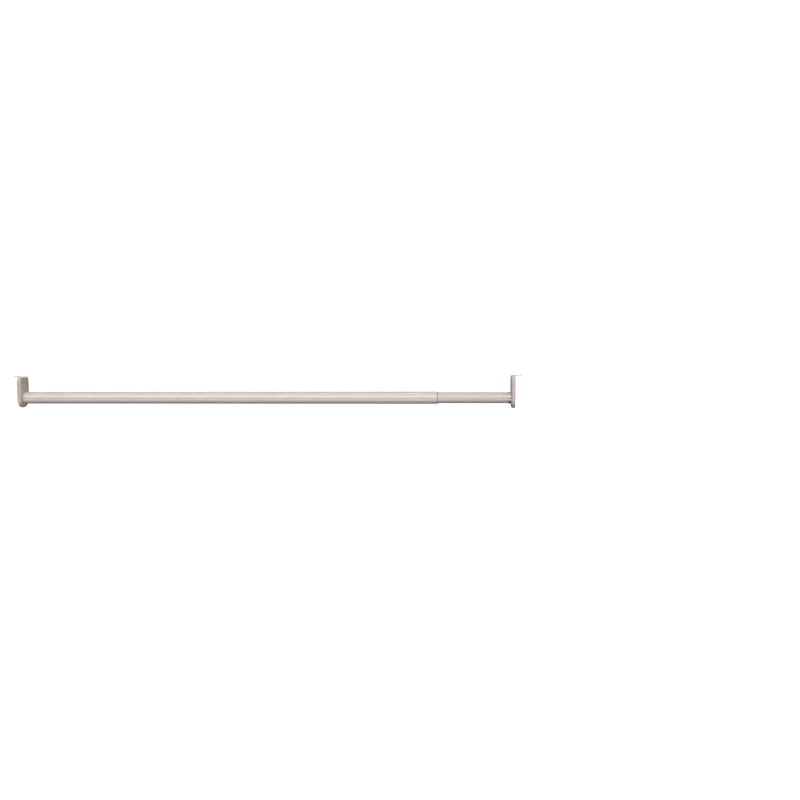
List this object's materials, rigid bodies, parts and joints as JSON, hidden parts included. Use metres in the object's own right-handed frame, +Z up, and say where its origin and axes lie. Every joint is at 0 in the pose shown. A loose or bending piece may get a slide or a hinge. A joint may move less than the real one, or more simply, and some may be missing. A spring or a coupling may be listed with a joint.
{
  "type": "adjustable closet rod",
  "caption": "Telescoping steel closet rod with a pressed bracket across each end, screw holes above the rod and a tab that hooks over a wall cleat.",
  "frame": {"origin": "on the rod's axis in the left wall plane, where the rim of the left bracket meets the wall", "axes": "+X along the rod from the left wall to the right wall, +Z up, +Y away from the front"},
  "size_m": [1.2532, 0.049, 0.0785],
  "materials": {
    "tube_finish": "satin nickel coloured coating on rolled steel tube, fine pearl grain",
    "bracket_finish": "the same satin nickel coloured coating on pressed sheet steel, slightly worn at the rim",
    "socket_finish": "satin plated steel with fine turned marks",
    "guide_plastic": "matt warm grey nylon"
  },
  "bodies": {
    "outer": {"outer_tube": "tube_finish", "left_bracket": "bracket_finish", "left_socket": "socket_finish", "mouth_bush": "guide_plastic"},
    "glide": {"tail_glide": "guide_plastic"},
    "inner": {"inner_tube": "tube_finish", "right_bracket": "bracket_finish", "right_socket": "socket_finish"}
  },
  "joints": [
    {"name": "length_slide", "type": "slide", "parent": "outer", "child": "glide", "axis": [1, 0, 0], "range_m": [-0.1649, 0.6096]},
    {"name": "bracket_turn", "type": "hinge", "parent": "glide", "child": "inner", "pos_m": [0.1957, 0, 0], "axis": [1, 0, 0], "continuous": true}
  ]
}
